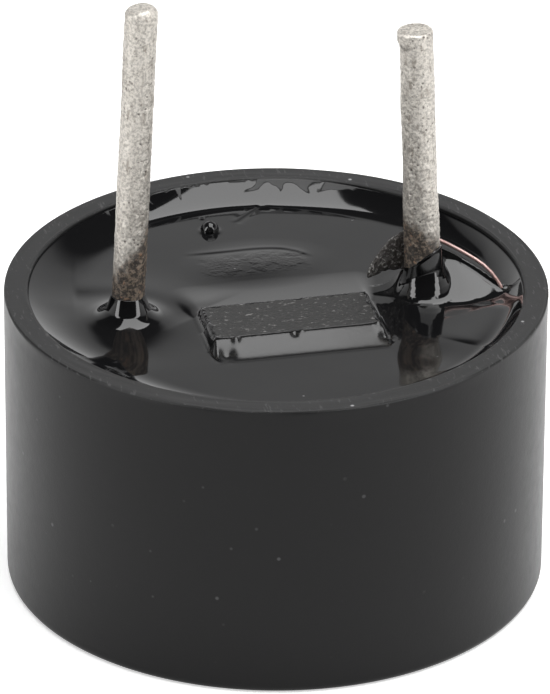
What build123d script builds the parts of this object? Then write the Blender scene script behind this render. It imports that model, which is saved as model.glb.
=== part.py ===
from build123d import *
import os
from math import atan2, cos, degrees, hypot, radians, sin, tan

# A round magnetic buzzer that stands on its sound face with its two pins up.
# Origin at the centre of the sound face, +Z towards the pin tips, X through both pins. Millimetres.

# Case: one moulded cup, open at the pin side
case_diameter = 9.0
case_height = 5.18
case_wall = 0.40
front_wall = 0.50
front_edge_radius = 0.12
rim_edge_radius = 0.04
sound_hole_diameter = 1.8
sound_hole_chamfer = 0.12
ledge_width = 0.45

# Clearances between pieces
drop_in_clearance = 0.05
winding_clearance = 0.04
pin_hole_clearance = 0.06
wire_clearance = 0.005

# Sound unit, from the front to the back
diaphragm_thickness = 0.05
diaphragm_recess = 0.22
diaphragm_seat_width = 0.65
recess_wall = 0.20
armature_diameter = 2.0
armature_thickness = 0.20
armature_edge_radius = 0.04
air_gap = 0.15
support_lip_thickness = 0.30
support_wall = 0.45
magnet_ring_width = 1.0
magnet_thickness = 1.38
magnet_edge_radius = 0.08
core_diameter = 1.6
core_spigot_diameter = 1.2
core_edge_radius = 0.05
winding_length = 1.25
drive_winding_diameter = 3.2
feedback_winding_diameter = 4.1
winding_edge_radius = 0.10
yoke_thickness = 0.40

# Circuit board, and the way through it for the winding leads
board_thickness = 0.50
copper_thickness = 0.035
pin_pad_width = 0.32
track_width = 0.22
lead_slot_width = 0.80
lead_slot_angle = -9.0
yoke_slot_start = 1.1
board_notch_depth = 0.38

# Pins: each leans towards the middle, a little more above its bend
pin_diameter = 0.50
pin_pitch = 5.0
pin_tail_gap = 0.05
pin_bend_radius = 18.0
long_pin_rise = 5.50
long_pin_bend_rise = 0.36
long_pin_base_lean = 1.9
long_pin_lean = 2.6
long_pin_tip_radius = 0.14
short_pin_rise = 4.68
short_pin_bend_rise = 1.05
short_pin_base_lean = 1.6
short_pin_lean = 2.4
short_pin_tip_radius = 0.04

# Solder
joint_foot_width = 0.28
joint_height = 0.50
joint_lip = 0.03
hollow_share = 0.25
sleeve_wall = 0.035
sleeve_rise = 0.90
flag_thickness = 0.10
flag_offset = 0.20
flag_length = 0.88
flag_drop = 0.65
flag_root_depth = 0.455
flag_upper_sag = 0.18
flag_lower_sag = 0.56
toe_reach = 0.20
lead_joint_radius = 0.20
lead_joint_height = 0.14

# Three-lead transistor
transistor_length = 2.9
transistor_width = 1.3
transistor_height = 0.98
transistor_standoff = 0.055
transistor_draft = 0.07
transistor_place = (0.07, -0.785)
transistor_lead_width = 0.40
transistor_lead_thickness = 0.12
transistor_lead_pitch = 1.9
transistor_lead_reach = 0.55
transistor_lead_bend = 0.24
transistor_lead_inside = 0.20
transistor_lead_level = 0.45
lead_outer_bend = 0.11
lead_inner_bend = 0.04

# Chip capacitor and chip resistor
capacitor_length = 1.6
capacitor_width = 0.8
capacitor_height = 0.8
capacitor_toe_height = 0.28
capacitor_place = (0.0, 1.61)
resistor_length = 1.0
resistor_width = 0.5
resistor_height = 0.35
resistor_toe_height = 0.21
resistor_place = (1.93, -2.20)
end_cap_length = 0.28
end_cap_wall = 0.03
pad_margin = 0.06

# Potting compound
potting_below_rim = 0.35
potting_over_board = 0.88
meniscus_width = 0.65
meniscus_below_rim = 0.05
pin_collar_width = 0.20
pin_collar_climb = 0.24
dam_width = 0.42
dam_below_top = 0.03
dam_lip = 0.05
dam_shoulder_width = 0.19
dam_shoulder_rise = 0.05
lap_depth = 0.42
lap_thickness = 0.03
lap_shoulder_rise = 0.08
mound_length = 2.3
mound_width = 1.5
mound_rise = 0.07
mound_steps = ((1, 0), (0.86, 0.5), (0.6, 0.88), (0.35, 1))
bubble_radius = 0.165
bubble_rise = 0.10
bubble_place = (-0.48, 2.91)
web_front_spread = 1.3
web_rear_spread = 0.8
web_crest_width = 0.08
web_waist_share = 0.45
web_waist_rise = 0.25

# Winding leads
lead_wire_diameter = 0.06
lead_spacing = 0.20
lead_edge_gap = 0.18
lead_wall_dip = 0.05
drive_lead_start = 1.40
feedback_lead_start = 1.84
drive_lead_pad = (2.95, -1.15)
feedback_lead_pad = (2.75, -1.75)
lead_pad_radius = 0.26
lead_run_height = 0.35
lead_slot_bend_radius = 0.40
lead_bend_share = 0.45

# The common lead's arch over the compound: how far from the short pin to the wall, across, and up
arch_shares = (0.69, 0.43, 0.19, -0.03)
arch_front_offset = -0.10
arch_middle_offset = 0.19
arch_rear_step = 0.03
arch_rises = (0.35, 0.57, 0.77, 0.83)
# Past the pin: how far from its middle line, across for the ridge, and up
wire_tail = ((0.38, 0.73), (0.70, 0.45))
web_tail = ((0.50, 0.30, 0.34), (1.15, 0.42, 0.02))

# Radii and levels that follow: the pieces are stacked down from the compound, which leaves the front chamber
case_radius = case_diameter / 2
bore_radius = case_radius - case_wall
drop_in_radius = bore_radius - drop_in_clearance
recess_radius = drop_in_radius - recess_wall
pin_radius = pin_diameter / 2
pin_hole_radius = pin_radius + pin_hole_clearance
sleeve_radius = pin_radius + sleeve_wall
wire_radius = lead_wire_diameter / 2
lead_rise_radius = drop_in_radius - lead_edge_gap
potting_level = case_height - potting_below_rim
board_top = potting_level - potting_over_board
copper_top = board_top + copper_thickness
yoke_top = board_top - board_thickness
yoke_bottom = yoke_top - yoke_thickness
magnet_seat = yoke_bottom - magnet_thickness
diaphragm_seat = magnet_seat - support_lip_thickness
ledge_top = diaphragm_seat - diaphragm_recess
transistor_bottom = copper_top + transistor_standoff
transistor_top = transistor_bottom + transistor_height
lead_foot_top = copper_top + transistor_lead_thickness


def disc(radius, low, high):
    return Pos(0, 0, low) * extrude(Circle(radius), amount=high - low)


def outline(*points):
    return make_face(Polyline(*points, close=True))


def corners(face, *places):
    # The corners of an outline that lie nearest to the given places
    return [face.vertices().sort_by_distance(place)[0] for place in places]


def turned(face):
    # An outline drawn as (radius, height) and turned about the Z axis
    return revolve(Plane.XZ * face, Axis.Z)


def rounded_ring(outer, inner, low, high, radius):
    section = outline((inner, low), (outer, low), (outer, high), (inner, high))
    return turned(fillet(section.vertices(), radius))


def hollow_side(foot, top):
    # The slightly hollow slope that a liquid takes where it climbs from a foot to a top
    share = hollow_share / 2
    middle_x = (foot[0] + top[0]) / 2 + share * (top[0] - foot[0])
    middle_y = (foot[1] + top[1]) / 2 - share * (top[1] - foot[1])
    return ThreePointArc(foot, (middle_x, middle_y), top)


def hollow_cone(foot_radius, top_radius, low, foot, top):
    # A body of revolution with a hollow side
    base = Polyline((foot_radius, foot), (foot_radius, low), (0, low), (0, top), (top_radius, top))
    return turned(make_face(base + hollow_side((foot_radius, foot), (top_radius, top))))


def slot_point(reach, offset, height):
    # A point given along and across the radial way through for the leads
    turn = radians(lead_slot_angle)
    return (reach * cos(turn) - offset * sin(turn), reach * sin(turn) + offset * cos(turn), height)


def lead_way(start, low, high):
    # The radial slot for the leads, round at its inner end and open at the rim
    slot = SlotCenterToCenter(case_radius, lead_slot_width)
    centre = start + lead_slot_width / 2 + case_radius / 2
    return Rot(0, 0, lead_slot_angle) * Pos(centre, 0, low) * extrude(slot, amount=high - low)


def make_case():
    hole = sound_hole_diameter / 2
    ledge_radius = bore_radius - ledge_width
    section = outline(
        (hole, 0),
        (case_radius, 0),
        (case_radius, case_height),
        (bore_radius, case_height),
        (bore_radius, ledge_top),
        (ledge_radius, ledge_top),
        (ledge_radius, front_wall),
        (hole, front_wall),
    )
    section = fillet(corners(section, (case_radius, 0)), front_edge_radius)
    rim = ((case_radius, case_height), (bore_radius, case_height))
    section = fillet(corners(section, *rim), rim_edge_radius)
    section = chamfer(corners(section, (hole, 0)), sound_hole_chamfer)
    return turned(section)


def make_diaphragm():
    return disc(recess_radius - drop_in_clearance, diaphragm_seat - diaphragm_thickness, diaphragm_seat)


def make_armature_disc():
    top = diaphragm_seat - diaphragm_thickness
    low = top - armature_thickness
    radius = armature_diameter / 2
    section = outline((0, low), (radius, low), (radius, top), (0, top))
    return turned(fillet(corners(section, (radius, low)), armature_edge_radius))


def make_support_ring():
    pocket_radius = drop_in_radius - support_wall
    lip_radius = recess_radius - diaphragm_seat_width
    return turned(
        outline(
            (recess_radius, ledge_top),
            (drop_in_radius, ledge_top),
            (drop_in_radius, yoke_bottom),
            (pocket_radius, yoke_bottom),
            (pocket_radius, magnet_seat),
            (lip_radius, magnet_seat),
            (lip_radius, diaphragm_seat),
            (recess_radius, diaphragm_seat),
        )
    )


def make_magnet_ring():
    outer = drop_in_radius - support_wall - drop_in_clearance
    return rounded_ring(outer, outer - magnet_ring_width, magnet_seat, yoke_bottom, magnet_edge_radius)


def make_pole_core():
    radius = core_diameter / 2
    spigot = core_spigot_diameter / 2
    tip = diaphragm_seat + air_gap
    shank = ((0, tip), (radius, tip), (radius, yoke_bottom))
    section = outline(*shank, (spigot, yoke_bottom), (spigot, yoke_top), (0, yoke_top))
    return turned(fillet(corners(section, (radius, tip)), core_edge_radius))


def make_winding(inner_diameter, outer_diameter):
    inner = inner_diameter / 2 + winding_clearance
    low = yoke_bottom - winding_length
    return rounded_ring(outer_diameter / 2, inner, low, yoke_bottom, winding_edge_radius)


def make_yoke_plate():
    plate = disc(drop_in_radius, yoke_bottom, yoke_top)
    plate -= disc(core_spigot_diameter / 2, yoke_bottom, yoke_top)
    return plate - lead_way(yoke_slot_start, yoke_bottom, yoke_top)


def pin_x(side, lean, height):
    # Where a pin's middle line is at a height below its bend
    return side * (pin_pitch / 2 - (height - potting_level) * tan(radians(lean)))


def make_circuit_board():
    board = disc(drop_in_radius, yoke_top, board_top)
    for side, lean in ((-1, long_pin_base_lean), (1, short_pin_base_lean)):
        board -= Pos(pin_x(side, lean, board_top), 0, 0) * disc(pin_hole_radius, yoke_top, board_top)
    return board - lead_way(drop_in_radius - board_notch_depth, yoke_top, board_top)


def track(start, end):
    across, along = end[0] - start[0], end[1] - start[1]
    middle = ((start[0] + end[0]) / 2, (start[1] + end[1]) / 2)
    turn = degrees(atan2(along, across))
    return Pos(*middle) * Rot(0, 0, turn) * SlotCenterToCenter(hypot(across, along), track_width)


def chip_ends(length, place):
    # Where the middles of a chip's two pads are
    reach = length / 2 - end_cap_length / 2 + toe_reach / 2
    return (place[0] - reach, place[1]), (place[0] + reach, place[1])


def chip_pad(width, place):
    return Pos(*place) * Rectangle(end_cap_length + toe_reach + pad_margin, width + pad_margin)


def transistor_foot(side, offset):
    # Where the middle of a lead's pad is
    reach = transistor_width / 2 + transistor_lead_reach - transistor_lead_bend / 2 + toe_reach / 2
    return transistor_place[0] + offset, transistor_place[1] + side * reach


def transistor_pad(place):
    depth = transistor_lead_reach - transistor_lead_bend / 2 + toe_reach
    return Pos(*place) * Rectangle(transistor_lead_width + pad_margin, depth - pad_margin)


def make_board_copper():
    half_pitch = transistor_lead_pitch / 2
    long_hole = (pin_x(-1, long_pin_base_lean, board_top), 0)
    short_hole = (pin_x(1, short_pin_base_lean, board_top), 0)
    pin_pad = Circle(pin_hole_radius + pin_pad_width)
    lead_pad = Circle(lead_pad_radius)
    emitter = transistor_foot(-1, -half_pitch)
    base = transistor_foot(-1, half_pitch)
    collector = transistor_foot(1, 0)
    under_body = (collector[0], drive_lead_pad[1])
    cap_left, cap_right = chip_ends(capacitor_length, capacitor_place)
    res_left, res_right = chip_ends(resistor_length, resistor_place)

    long_net = Pos(*long_hole) * pin_pad + track(long_hole, cap_left)
    long_net += chip_pad(capacitor_width, cap_left) + track(long_hole, emitter) + transistor_pad(emitter)
    long_net -= Pos(*long_hole) * Circle(pin_hole_radius)
    short_net = Pos(*short_hole) * pin_pad + track(short_hole, cap_right)
    short_net += chip_pad(capacitor_width, cap_right)
    short_net -= Pos(*short_hole) * Circle(pin_hole_radius)
    drive_net = transistor_pad(collector) + track(collector, under_body) + track(under_body, drive_lead_pad)
    drive_net += Pos(*drive_lead_pad) * lead_pad
    base_net = transistor_pad(base) + track(base, res_left) + chip_pad(resistor_width, res_left)
    feedback_net = chip_pad(resistor_width, res_right) + track(res_right, feedback_lead_pad)
    feedback_net += Pos(*feedback_lead_pad) * lead_pad
    nets = (long_net, short_net, drive_net, base_net, feedback_net)
    return [Pos(0, 0, board_top) * extrude(net, amount=copper_thickness) for net in nets]


def make_pin(side, rise, bend_rise, base_lean, lean, tip_radius):
    tail = yoke_top + pin_tail_gap
    bend = potting_level + bend_rise
    tip = potting_level + rise
    start = (pin_x(side, base_lean, tail), 0, tail)
    middle = (pin_x(side, base_lean, bend), 0, bend)
    end = (middle[0] - side * (tip - bend) * tan(radians(lean)), 0, tip)
    path = FilletPolyline(start, middle, end, radius=pin_bend_radius)
    section = Plane(origin=start, z_dir=path % 0) * Circle(pin_radius)
    pin = sweep(section, path=path)
    tip_edge = pin.edges().filter_by(GeomType.CIRCLE).sort_by(Axis.Z)[-1]
    return fillet(tip_edge, tip_radius)


def leaning_rod(side, lean, radius, low, high):
    # A round rod along the straight foot of a pin
    start = Vector(pin_x(side, lean, low), 0, low)
    end = Vector(pin_x(side, lean, high), 0, high)
    return Plane(origin=start, z_dir=end - start) * extrude(Circle(radius), amount=(end - start).length)


def make_pin_joint(side, lean, pin, top_radius):
    foot_radius = pin_radius + joint_foot_width
    top = copper_top + joint_height
    joint = hollow_cone(foot_radius, top_radius + joint_lip, copper_top, copper_top + joint_lip, top)
    joint += disc(pin_hole_radius, board_top, copper_top)
    return Pos(pin_x(side, lean, board_top), 0, 0) * joint - pin


def make_flag():
    # The rough leaf of solder that runs from the short pin down along the end of the common lead
    root = pin_x(1, short_pin_base_lean, potting_level + sleeve_rise) - pin_radius / 2
    top = potting_level + sleeve_rise
    tip = (root - flag_length + pin_radius / 2, top - flag_drop)
    middle = (root + tip[0]) / 2
    heel = (root, top - flag_root_depth)
    upper = ThreePointArc((root, top), (middle, top - flag_upper_sag), tip)
    lower = ThreePointArc(tip, (middle, top - flag_lower_sag), heel)
    leaf = make_face(upper + lower + Line(heel, (root, top)))
    leaf = extrude(Plane.XZ * leaf, amount=flag_thickness / 2, both=True)
    return Pos(0, flag_offset, 0) * leaf


def make_short_pin_solder(pin):
    top = potting_level + sleeve_rise
    sleeve = leaning_rod(1, short_pin_base_lean, sleeve_radius, copper_top + joint_lip, top)
    joint = make_pin_joint(1, short_pin_base_lean, pin, sleeve_radius)
    return joint + (sleeve - pin) + (make_flag() - pin)


def half_body(low_shrink, high_shrink, low, high):
    # A stretch of the transistor's moulding between two levels
    sections = []
    for shrink, level in ((low_shrink, low), (high_shrink, high)):
        plan = Rectangle(transistor_length - 2 * shrink, transistor_width - 2 * shrink)
        sections.append(Pos(transistor_place[0], transistor_place[1], level) * plan)
    return loft(sections, ruled=True)


def make_transistor_lead(side, offset):
    exit_level = transistor_bottom + transistor_height * transistor_lead_level
    half = transistor_lead_thickness / 2
    inside = transistor_width / 2 - transistor_lead_inside
    bend = transistor_width / 2 + transistor_lead_bend
    back = bend - transistor_lead_thickness
    tip = transistor_width / 2 + transistor_lead_reach
    section = outline(
        (inside, exit_level + half),
        (bend, exit_level + half),
        (bend, lead_foot_top),
        (tip, lead_foot_top),
        (tip, copper_top),
        (back, copper_top),
        (back, exit_level - half),
        (inside, exit_level - half),
    )
    section = fillet(corners(section, (bend, exit_level + half), (back, copper_top)), lead_outer_bend)
    section = fillet(corners(section, (bend, lead_foot_top), (back, exit_level - half)), lead_inner_bend)
    lead = extrude(Plane.YZ * section, amount=transistor_lead_width / 2, both=True)
    turn = 0 if side > 0 else 180
    return Pos(transistor_place[0] + offset, transistor_place[1], 0) * Rot(0, 0, turn) * lead


def make_transistor_body(leads):
    parting = transistor_bottom + transistor_height * transistor_lead_level
    body = half_body(transistor_draft, 0, transistor_bottom, parting)
    body += half_body(0, transistor_draft, parting, transistor_top)
    for lead in leads:
        body -= lead
    return body


def solder_toe(place, turn, height, width):
    # A wedge of solder with a hollow face, from a wall at the place given, out along the turned X
    base = Polyline((0, height), (0, 0), (toe_reach, 0))
    wedge = make_face(base + hollow_side((toe_reach, 0), (0, height)))
    wedge = extrude(Plane.XZ * wedge, amount=width / 2, both=True)
    return Pos(place[0], place[1], copper_top) * Rot(0, 0, turn) * wedge


def make_transistor_solder():
    reach = transistor_width / 2 + transistor_lead_reach
    half_pitch = transistor_lead_pitch / 2
    toes = []
    for side, offset in ((-1, -half_pitch), (-1, half_pitch), (1, 0)):
        place = (transistor_place[0] + offset, transistor_place[1] + side * reach)
        toes.append(solder_toe(place, side * 90, transistor_lead_thickness, transistor_lead_width))
    return toes


def make_chip_body(length, width, height, place):
    shell = 2 * end_cap_wall
    middle = (place[0], place[1], copper_top + height / 2)
    return Pos(*middle) * Box(length - shell, width - shell, height - shell)


def make_end_caps(length, width, height, place, body):
    reach = length / 2 - end_cap_length / 2
    cap = Box(end_cap_length, width, height)
    level = copper_top + height / 2
    return [Pos(place[0] + side * reach, place[1], level) * cap - body for side in (-1, 1)]


def make_chip_solder(length, width, toe_height, place):
    toes = []
    for side, turn in ((-1, 180), (1, 0)):
        end = (place[0] + side * length / 2, place[1])
        toes.append(solder_toe(end, turn, toe_height, width - pad_margin))
    return toes


def make_wire(points):
    # A round wire along straight runs, each bend as wide as its two runs allow
    radii = []
    for before, corner, after in zip(points, points[1:], points[2:]):
        first = Vector(*corner) - Vector(*before)
        second = Vector(*after) - Vector(*corner)
        half_turn = radians(first.get_angle(second)) / 2
        radii.append(lead_bend_share * min(first.length, second.length) / tan(half_turn))
    radii[1] = min(radii[1], lead_slot_bend_radius)
    path = FilletPolyline(*points, radius=radii)
    section = Plane(origin=points[0], z_dir=path % 0) * Circle(wire_radius)
    return sweep(section, path=path), radii, path.length


def slot_run(start, offset):
    # From the winding up into the yoke plate's slot and out along it
    level = yoke_bottom + yoke_thickness / 2
    return [
        slot_point(start, offset, yoke_bottom),
        slot_point(start, offset, level),
        slot_point(lead_rise_radius, offset, level),
    ]


def arch_line():
    # The line that the common lead takes in the open, from the wall to the back of the short pin
    pin = pin_pitch / 2
    behind = sleeve_radius + wire_radius + wire_clearance
    offsets = (arch_front_offset, arch_middle_offset, behind, behind + arch_rear_step)
    reaches = [pin + share * (bore_radius - pin) for share in arch_shares]
    levels = [potting_level + rise for rise in arch_rises]
    return list(zip(reaches, offsets, levels))


def make_common_lead():
    rear = flag_offset + flag_thickness / 2 + wire_radius + wire_clearance
    points = slot_run(drive_lead_start, lead_spacing)
    points += [slot_point(lead_rise_radius, lead_spacing, potting_level - lead_wall_dip)]
    points += arch_line()
    points += [(pin_pitch / 2 - reach, rear, potting_level + rise) for reach, rise in wire_tail]
    return make_wire(points)


def make_board_lead(start, offset, pad):
    level = board_top + lead_run_height
    points = slot_run(start, offset)
    points += [slot_point(lead_rise_radius, offset, level), (*pad, level), (*pad, copper_top)]
    return make_wire(points)


def make_lead_joint(pad, wire):
    base = Polyline((0, lead_joint_height), (0, 0), (lead_joint_radius, 0))
    half = radians(45)
    over = (lead_joint_radius * cos(half), lead_joint_height * sin(half))
    dome = make_face(base + ThreePointArc((lead_joint_radius, 0), over, (0, lead_joint_height)))
    return Pos(pad[0], pad[1], copper_top) * turned(dome) - wire


def potting_pool():
    top = case_height - meniscus_below_rim
    foot = bore_radius - meniscus_width
    wall = ((bore_radius, top), (bore_radius, board_top))
    base = Polyline(*wall, (0, board_top), (0, potting_level), (foot, potting_level))
    side = TangentArc((foot, potting_level), (bore_radius, top), tangent=(1, 0))
    return turned(make_face(base + side))


def pin_collar(side, lean, top_radius):
    foot_radius = top_radius + pin_collar_width
    top = potting_level + pin_collar_climb
    collar = hollow_cone(foot_radius, top_radius + joint_lip, board_top, potting_level, top)
    return Pos(pin_x(side, lean, potting_level + pin_collar_climb / 2), 0, 0) * collar


def transistor_dam():
    # The slopes of compound that climb to the top of the moulding, all round it
    top = transistor_top - dam_below_top
    shoulder = potting_level + dam_shoulder_rise
    sections = []
    for width, level in ((dam_width, potting_level), (dam_shoulder_width, shoulder), (dam_lip, top)):
        plan = RectangleRounded(transistor_length + 2 * width, transistor_width + 2 * width, width + dam_lip)
        sections.append(Pos(transistor_place[0], transistor_place[1], level) * plan)
    return loft(sections, ruled=True)


def transistor_lap():
    # The thin tongue of compound that lies over the rear of the moulding's top
    back = transistor_width / 2
    front = back - lap_depth
    high = transistor_top + lap_thickness
    section = outline(
        (front, potting_level),
        (front, transistor_top),
        (front + lap_thickness * 2, high),
        (back, high),
        (back + dam_shoulder_width, potting_level + lap_shoulder_rise),
        (back + dam_width, potting_level),
    )
    lap = extrude(Plane.YZ * section, amount=transistor_length / 2, both=True)
    return Pos(transistor_place[0], transistor_place[1], 0) * lap


def capacitor_mound():
    sections = []
    for share, rise in mound_steps:
        plan = Ellipse(mound_length / 2 * share, mound_width / 2 * share)
        sections.append(Pos(capacitor_place[0], capacitor_place[1], potting_level + mound_rise * rise) * plan)
    return loft(sections, ruled=True)


def lead_web():
    # The ridge of compound drawn up under the common lead, from the wall past the short pin
    wall = slot_point(bore_radius, lead_spacing, potting_level + lead_wall_dip)
    tail = [(pin_pitch / 2 - reach, offset, potting_level + rise) for reach, offset, rise in web_tail]
    line = [wall, *arch_line(), *tail]
    sections = []
    for x, y, z in line:
        flanks = []
        for side, spread in ((1, web_rear_spread), (-1, web_front_spread)):
            reach = web_crest_width + spread * (z - potting_level)
            waist = potting_level + (z - potting_level) * web_waist_rise
            slope = ((web_crest_width / 2, z), (reach * web_waist_share, waist))
            flank = (*slope, (reach, potting_level), (reach, board_top))
            flanks.append([(y + side * across, level) for across, level in flank])
        sections.append(Pos(x, 0, 0) * (Plane.YZ * outline(*flanks[0], *reversed(flanks[1]))))
    ridge = loft(sections, ruled=True)
    return ridge & disc(bore_radius, board_top, case_height + long_pin_rise)


def make_potting(buried):
    pool = potting_pool()
    pool += pin_collar(-1, long_pin_base_lean, pin_radius)
    pool += pin_collar(1, short_pin_base_lean, sleeve_radius)
    pool += transistor_dam()
    pool += transistor_lap()
    pool += capacitor_mound()
    pool += lead_web()
    pool += Pos(*bubble_place, potting_level + bubble_rise - bubble_radius) * Sphere(bubble_radius)
    under_body = Rectangle(transistor_length - 2 * transistor_draft, transistor_width - 2 * transistor_draft)
    pool -= Pos(*transistor_place, board_top) * extrude(under_body, amount=transistor_bottom - board_top)
    for piece in buried:
        pool -= piece
    return pool


def save(name, *solids):
    shape = solids[0] if len(solids) == 1 else Compound(children=list(solids))
    export_step(shape, f"parts/{name}.step")


half_pitch = transistor_lead_pitch / 2
emitter_lead = make_transistor_lead(-1, -half_pitch)
base_lead = make_transistor_lead(-1, half_pitch)
collector_lead = make_transistor_lead(1, 0)
transistor_body = make_transistor_body((emitter_lead, base_lead, collector_lead))
transistor_solder = make_transistor_solder()

capacitor = (capacitor_length, capacitor_width, capacitor_height, capacitor_place)
capacitor_body = make_chip_body(*capacitor)
capacitor_caps = make_end_caps(*capacitor, capacitor_body)
capacitor_solder = make_chip_solder(capacitor_length, capacitor_width, capacitor_toe_height, capacitor_place)
resistor = (resistor_length, resistor_width, resistor_height, resistor_place)
resistor_body = make_chip_body(*resistor)
resistor_caps = make_end_caps(*resistor, resistor_body)
resistor_solder = make_chip_solder(resistor_length, resistor_width, resistor_toe_height, resistor_place)

long_bend = (long_pin_bend_rise, long_pin_base_lean, long_pin_lean)
short_bend = (short_pin_bend_rise, short_pin_base_lean, short_pin_lean)
long_pin = make_pin(-1, long_pin_rise, *long_bend, long_pin_tip_radius)
short_pin = make_pin(1, short_pin_rise, *short_bend, short_pin_tip_radius)
long_pin_solder = make_pin_joint(-1, long_pin_base_lean, long_pin, pin_radius)
short_pin_solder = make_short_pin_solder(short_pin)
board_copper = make_board_copper()

wires = {
    "common_lead_wire": make_common_lead(),
    "drive_lead_wire": make_board_lead(drive_lead_start, 0, drive_lead_pad),
    "feedback_lead_wire": make_board_lead(feedback_lead_start, -lead_spacing, feedback_lead_pad),
}
common_wire, drive_wire, feedback_wire = (wire for wire, radii, length in wires.values())
lead_joints = [make_lead_joint(drive_lead_pad, drive_wire), make_lead_joint(feedback_lead_pad, feedback_wire)]

buried = [transistor_body, emitter_lead, base_lead, collector_lead, *transistor_solder]
buried += [capacitor_body, *capacitor_caps, *capacitor_solder]
buried += [resistor_body, *resistor_caps, *resistor_solder]
buried += [long_pin, short_pin, long_pin_solder, short_pin_solder, *board_copper]
buried += [common_wire, drive_wire, feedback_wire, *lead_joints]

os.makedirs("parts", exist_ok=True)
save("case", make_case())
save("diaphragm", make_diaphragm())
save("armature_disc", make_armature_disc())
save("support_ring", make_support_ring())
save("magnet_ring", make_magnet_ring())
save("pole_core", make_pole_core())
save("drive_winding", make_winding(core_diameter, drive_winding_diameter))
save("feedback_winding", make_winding(drive_winding_diameter, feedback_winding_diameter))
save("yoke_plate", make_yoke_plate())
save("circuit_board", make_circuit_board())
save("board_copper", *board_copper)
save("long_pin", long_pin)
save("short_pin", short_pin)
save("long_pin_solder", long_pin_solder)
save("short_pin_solder", short_pin_solder)
save("transistor_body", transistor_body)
save("transistor_emitter_lead", emitter_lead)
save("transistor_base_lead", base_lead)
save("transistor_collector_lead", collector_lead)
save("transistor_solder", *transistor_solder)
save("capacitor_body", capacitor_body)
save("capacitor_end_caps", *capacitor_caps)
save("capacitor_solder", *capacitor_solder)
save("resistor_body", resistor_body)
save("resistor_end_caps", *resistor_caps)
save("resistor_solder", *resistor_solder)
save("lead_wire_solder", *lead_joints)
save("potting", make_potting(buried))
for name, (wire, radii, length) in wires.items():
    save(name, wire)
    print(name, "length", round(length, 2), "bend radii", [round(radius, 2) for radius in radii])
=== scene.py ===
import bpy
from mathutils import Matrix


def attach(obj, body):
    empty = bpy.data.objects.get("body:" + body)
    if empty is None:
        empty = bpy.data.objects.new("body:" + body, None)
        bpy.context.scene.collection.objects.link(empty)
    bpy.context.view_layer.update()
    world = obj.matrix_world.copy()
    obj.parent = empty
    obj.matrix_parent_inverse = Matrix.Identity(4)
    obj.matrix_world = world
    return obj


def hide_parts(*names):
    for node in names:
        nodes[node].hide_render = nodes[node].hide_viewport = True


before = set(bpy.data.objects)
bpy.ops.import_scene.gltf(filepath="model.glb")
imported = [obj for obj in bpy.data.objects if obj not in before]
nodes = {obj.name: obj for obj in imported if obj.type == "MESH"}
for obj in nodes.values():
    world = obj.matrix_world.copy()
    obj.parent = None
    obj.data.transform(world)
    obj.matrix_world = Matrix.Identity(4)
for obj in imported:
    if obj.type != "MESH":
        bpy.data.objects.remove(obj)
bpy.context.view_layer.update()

from math import cos, radians, sin, tan

import bpy
import numpy as np
from mathutils import Matrix, Vector

# A small round magnetic buzzer, standing on its sound face with its two pins up.
# Lengths are written in millimetres and turned into metres where a mesh is made.
mm = 0.001
print("frame loaded:", len(nodes), "nodes")


# Shader maths: a Wire is one output socket, and sums on wires add Math nodes
class Wire:
    def __init__(self, tree, socket):
        self.tree = tree
        self.socket = socket

    def reckon(self, operation, *others, clamp=False):
        node = self.tree.nodes.new("ShaderNodeMath")
        node.operation = operation
        node.use_clamp = clamp
        for place, value in zip(node.inputs, (self, *others)):
            plug(self.tree, place, value)
        return Wire(self.tree, node.outputs[0])

    def __add__(self, other):
        return self.reckon("ADD", other)

    def __sub__(self, other):
        return self.reckon("SUBTRACT", other)

    def __rsub__(self, other):
        return self.reckon("MULTIPLY_ADD", -1, other)

    def __mul__(self, other):
        return self.reckon("MULTIPLY", other)

    def __truediv__(self, other):
        return self.reckon("DIVIDE", other)

    def __pow__(self, other):
        return self.reckon("POWER", other)

    __radd__ = __add__
    __rmul__ = __mul__

    def kept(self):  # held between 0 and 1
        return self.reckon("ADD", 0, clamp=True)


def plug(tree, place, value):
    if isinstance(value, Wire):
        tree.links.new(value.socket, place)
    elif place.type == "RGBA":
        shade = value if isinstance(value, tuple) else (value, value, value)  # one number is a grey
        place.default_value = (*shade, 1)
    else:
        place.default_value = value


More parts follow.
